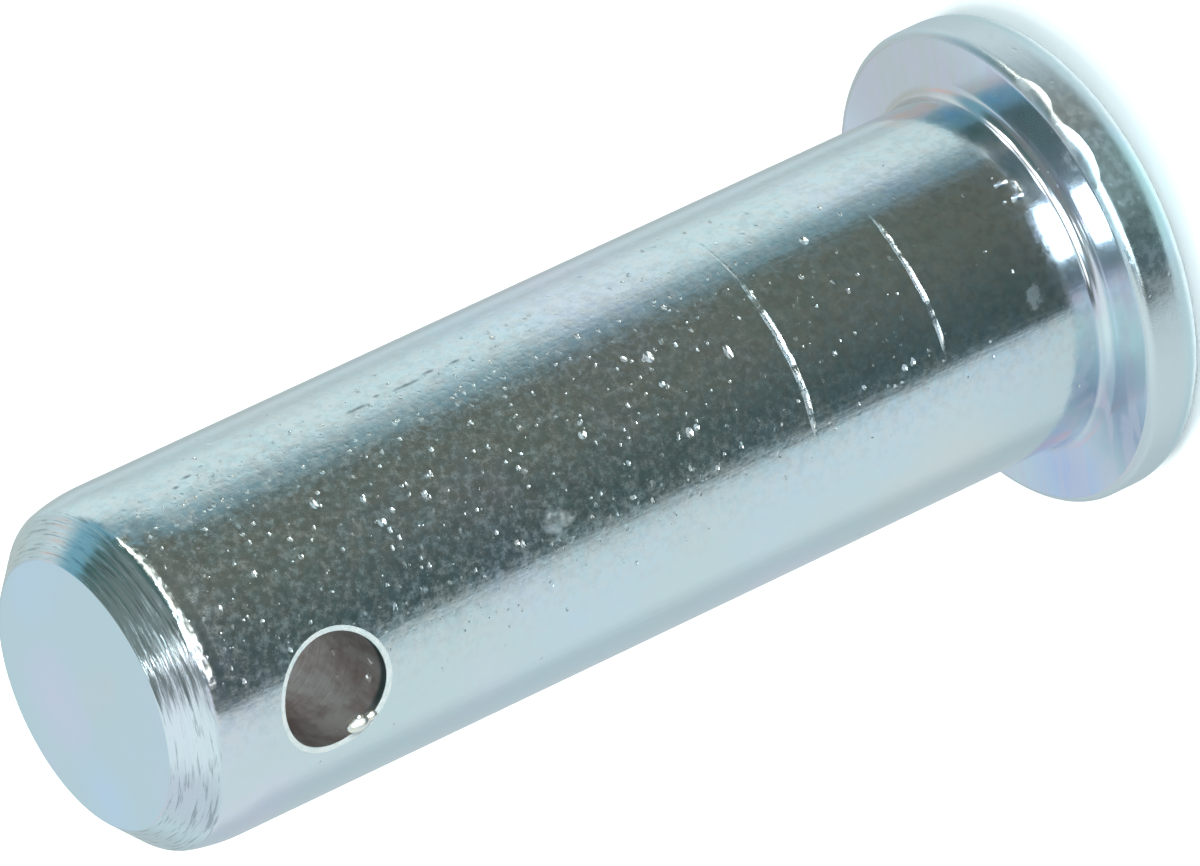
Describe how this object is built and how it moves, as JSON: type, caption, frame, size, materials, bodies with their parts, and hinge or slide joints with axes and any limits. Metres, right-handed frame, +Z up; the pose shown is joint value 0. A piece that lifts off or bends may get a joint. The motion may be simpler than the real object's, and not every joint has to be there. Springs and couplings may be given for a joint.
{
  "type": "clevis pin",
  "caption": "Zinc-plated steel clevis pin: round shank with a small flat head, a bevelled free end and a cross hole for a split cotter.",
  "frame": {"origin": "centre of the head's flat outer face, on which the pin stands", "axes": "+Z up the shank from the head to the free end; the cross hole runs along Y, right through"},
  "size_m": [0.0137, 0.0136, 0.032],
  "materials": {
    "zinc_plated_steel": "bright zinc plate with a clear blue passivate, near mirror, lightly dinged and ring-scratched from handling"
  },
  "bodies": {
    "root": {"clevis_pin": "zinc_plated_steel"}
  },
  "joints": []
}
